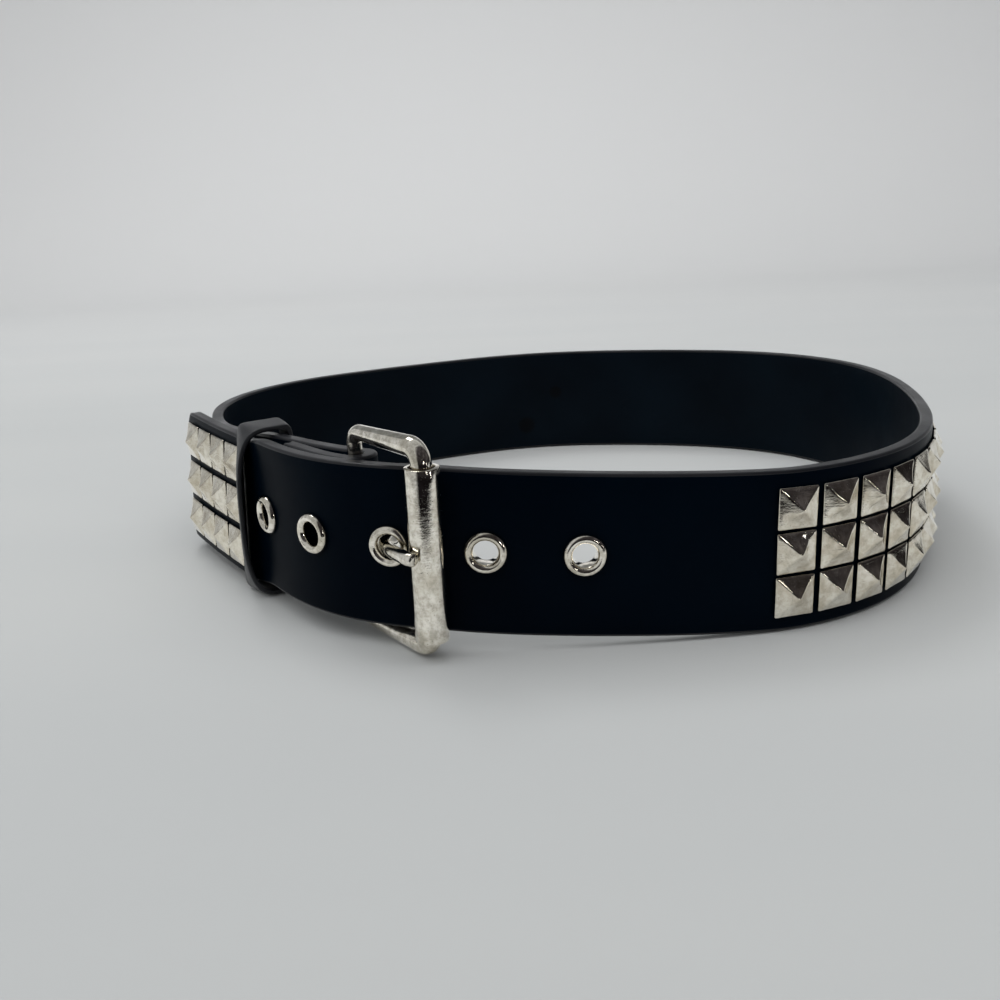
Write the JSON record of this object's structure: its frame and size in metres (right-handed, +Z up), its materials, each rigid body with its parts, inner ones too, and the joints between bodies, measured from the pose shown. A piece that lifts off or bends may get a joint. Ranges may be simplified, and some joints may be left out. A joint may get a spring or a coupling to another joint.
{
  "type": "studded belt",
  "caption": "Studded leather belt fastened as a standing loop, with rows of pyramid studs, eyelets, a keeper loop and a roller buckle.",
  "frame": {"origin": "middle of the footprint's bounding box, on the table", "axes": "+Z up, buckle and eyelets towards -Y, free tip at -X"},
  "size_m": [0.2638, 0.2426, 0.059],
  "materials": {
    "black_leather": "smooth, semi-gloss, slightly creased",
    "nickel": "polished, light tarnish",
    "tarnished_nickel": "warm tarnished nickel, scratched and dented"
  },
  "bodies": {
    "root": {"strap": "black_leather", "keeper_loop": "black_leather", "buckle_frame": "nickel", "roller": "nickel", "prong": "nickel", "eyelet_1": "nickel", "eyelet_2": "nickel", "eyelet_3": "nickel", "eyelet_4": "nickel", "eyelet_5": "nickel", "fold_rivet": "nickel", "stud_field": "tarnished_nickel", "tip_studs": "tarnished_nickel"}
  },
  "joints": []
}
